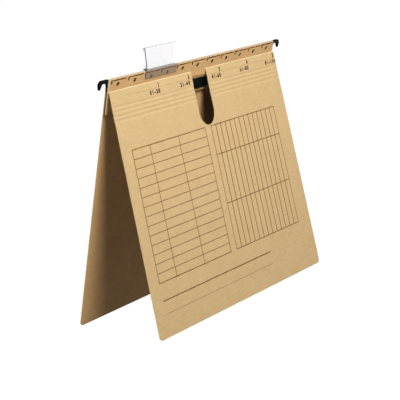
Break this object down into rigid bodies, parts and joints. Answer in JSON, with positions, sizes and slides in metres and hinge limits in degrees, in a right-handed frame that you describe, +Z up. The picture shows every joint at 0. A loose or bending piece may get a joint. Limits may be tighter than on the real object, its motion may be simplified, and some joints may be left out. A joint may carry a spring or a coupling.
{
  "type": "hanging fastener folder",
  "caption": "Kraft board hanging folder for filing frames, with a slotted top strip, hooked rail, scored front cover, clear index tab and a two-prong paper fastener.",
  "frame": {"origin": "centre of the footprint on the floor, with the folder standing open on its two cover edges", "axes": "+X along the rail to the viewer's right, +Y from the front cover to the back cover, +Z up"},
  "size_m": [0.3472, 0.092, 0.256],
  "materials": {
    "kraft_board": "matte",
    "rail": "satin",
    "black_plastic": "satin",
    "steel": "brushed",
    "clear_plastic": "gloss",
    "label_paper": "matte"
  },
  "bodies": {
    "folder_back": {"back_sheet": "kraft_board", "hinge_margin": "kraft_board", "hanger_rail": "rail", "left_hook": "black_plastic", "right_hook": "black_plastic", "fastener_base": "steel", "left_prong": "steel", "right_prong": "steel", "compressor_bar": "black_plastic"},
    "cover_band_1": {"front_band_1_left": "kraft_board", "front_band_1_right": "kraft_board"},
    "cover_band_2": {"front_band_2_left": "kraft_board", "front_band_2_right": "kraft_board"},
    "cover_band_3": {"front_band_3_left": "kraft_board", "front_band_3_right": "kraft_board"},
    "cover_band_4": {"front_band_4_left": "kraft_board", "front_band_4_right": "kraft_board"},
    "cover_panel": {"front_cover": "kraft_board"},
    "left_lock": {"left_slider": "black_plastic"},
    "right_lock": {"right_slider": "black_plastic"},
    "tab": {"index_tab": "clear_plastic"},
    "label": {"tab_label": "label_paper"}
  },
  "joints": [
    {"name": "cover_fold", "type": "hinge", "parent": "folder_back", "child": "cover_band_1", "pos_m": [0, 0.01107, 0.22294], "axis": [-1, 0, 0], "range_deg": [-7, 130]},
    {"name": "score_line_1", "type": "hinge", "parent": "cover_band_1", "child": "cover_band_2", "pos_m": [0, 0.00737, 0.20891], "axis": [1, 0, 0], "range_deg": [0, 20]},
    {"name": "score_line_2", "type": "hinge", "parent": "cover_band_2", "child": "cover_band_3", "pos_m": [0, 0.00636, 0.20494], "axis": [1, 0, 0], "range_deg": [0, 20]},
    {"name": "score_line_3", "type": "hinge", "parent": "cover_band_3", "child": "cover_band_4", "pos_m": [0, 0.00536, 0.20097], "axis": [1, 0, 0], "range_deg": [0, 20]},
    {"name": "score_line_4", "type": "hinge", "parent": "cover_band_4", "child": "cover_panel", "pos_m": [0, 0.00435, 0.19699], "axis": [1, 0, 0], "range_deg": [0, 20]},
    {"name": "left_slider_slide", "type": "slide", "parent": "folder_back", "child": "left_lock", "axis": [-1, 0, 0], "range_m": [0, 0.021]},
    {"name": "right_slider_slide", "type": "slide", "parent": "folder_back", "child": "right_lock", "axis": [1, 0, 0], "range_m": [0, 0.021]},
    {"name": "tab_pull", "type": "slide", "parent": "folder_back", "child": "tab", "axis": [0, -0.1374, 0.9905], "range_m": [0, 0.012]},
    {"name": "label_slide", "type": "slide", "parent": "tab", "child": "label", "axis": [1, 0, 0], "range_m": [0, 0.05]}
  ]
}
